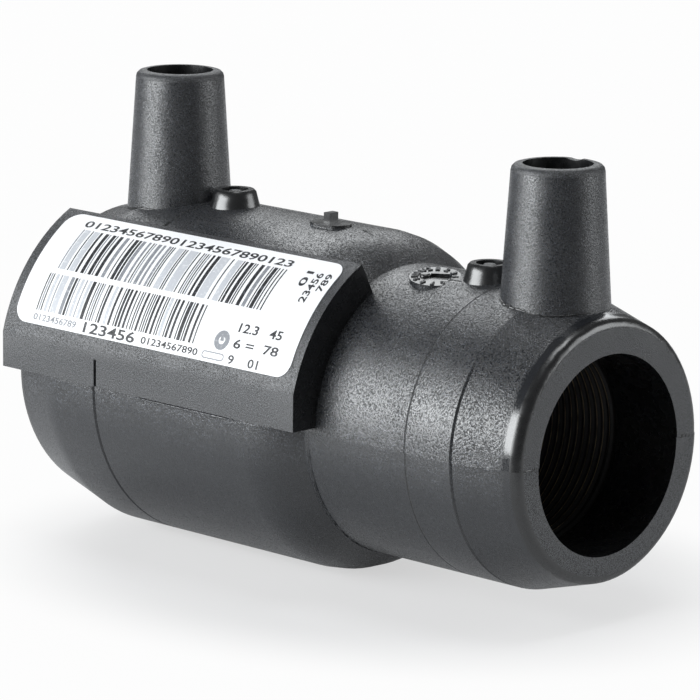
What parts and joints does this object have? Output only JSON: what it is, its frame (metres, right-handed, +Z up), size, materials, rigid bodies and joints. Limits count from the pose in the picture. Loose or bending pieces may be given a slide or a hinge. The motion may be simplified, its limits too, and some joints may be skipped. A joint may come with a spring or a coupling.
{
  "type": "electrofusion coupler",
  "caption": "Reducing electrofusion coupler: plain pipe sockets with heating windings in their bores, terminal shrouds with contact pins, sliding fusion indicators and a curved label pad.",
  "frame": {"origin": "on the pipe axis at the pipe stop of the 25 mm socket", "axes": "+X out of the 25 mm socket along the pipe axis, +Z up through the terminal shrouds, -Y towards the label pad"},
  "size_m": [0.0879, 0.0453, 0.0614],
  "materials": {
    "black_pe": "spark-eroded mould grain, satin",
    "coated_wire": "resistance wire in a dark polyethylene coat",
    "bare_wire": "drawn copper-nickel wire",
    "terminal_brass": "turned",
    "label_white": "smooth film"
  },
  "bodies": {
    "fitting": {"body": "black_pe", "heating_coil_25": "coated_wire", "heating_coil_32": "coated_wire", "bridge_wire": "bare_wire", "lead_wire_25": "bare_wire", "lead_wire_32": "bare_wire", "terminal_pin_25": "terminal_brass", "terminal_pin_32": "terminal_brass", "label_film": "label_white"},
    "indicator_25": {"indicator_pin_25": "black_pe"},
    "indicator_32": {"indicator_pin_32": "black_pe"}
  },
  "joints": [
    {"name": "indicator_25_rise", "type": "slide", "parent": "fitting", "child": "indicator_25", "axis": [0, 0, 1], "range_m": [0, 0.0025]},
    {"name": "indicator_32_rise", "type": "slide", "parent": "fitting", "child": "indicator_32", "axis": [0, 0, 1], "range_m": [0, 0.0025]}
  ]
}
